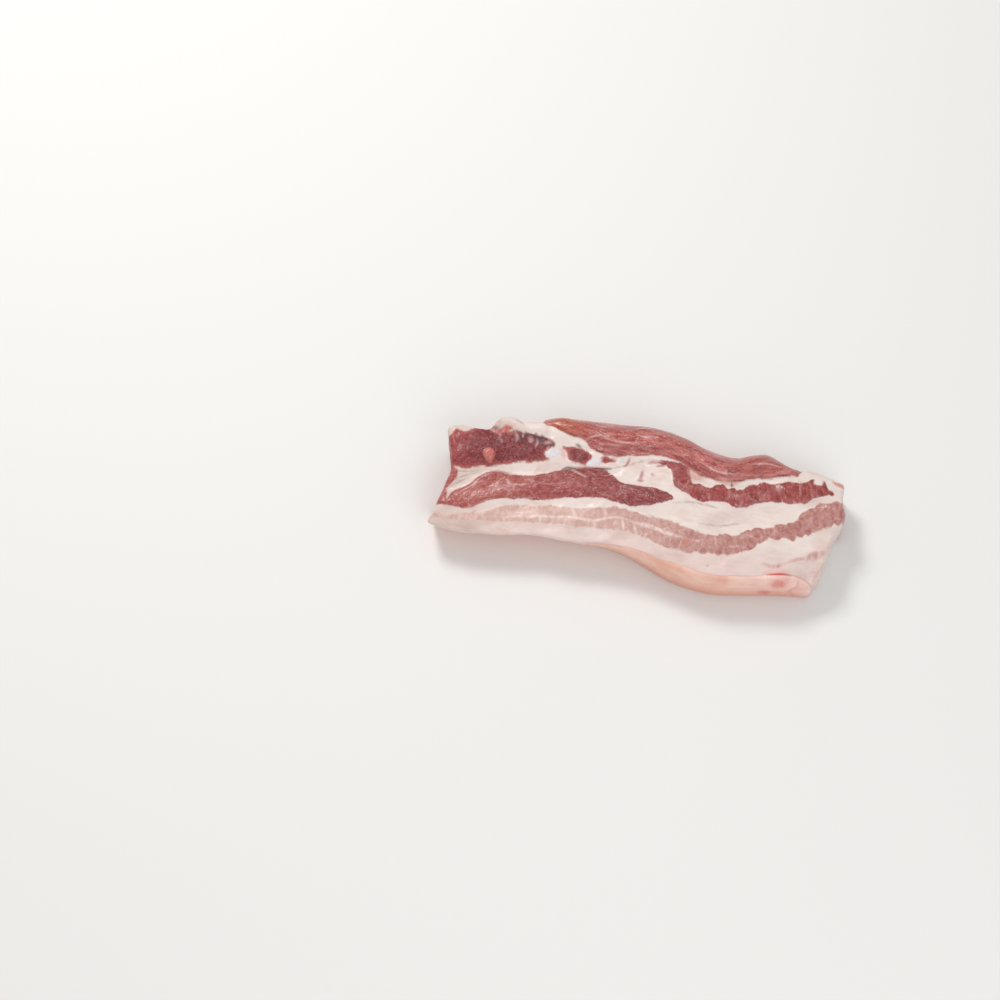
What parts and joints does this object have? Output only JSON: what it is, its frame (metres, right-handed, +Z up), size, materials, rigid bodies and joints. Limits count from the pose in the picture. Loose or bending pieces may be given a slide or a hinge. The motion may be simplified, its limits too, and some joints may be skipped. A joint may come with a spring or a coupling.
{
  "type": "pork belly slab",
  "caption": "Raw pork belly slab lying on a cut face: rind along one edge, layers of fat and lean across it, and a sawn piece of breastbone at one end.",
  "frame": {"origin": "middle of the bounding box, on the cut face the slab rests on", "axes": "+X along the slab from the breastbone end to the flank end, +Y from the rind to the rib side, +Z up from the resting face"},
  "size_m": [0.2056, 0.0806, 0.0284],
  "materials": {
    "raw_pork": "moist cut meat, pale fat with rosy lean"
  },
  "bodies": {
    "root": {"pork_belly_slab": "raw_pork"}
  },
  "joints": []
}
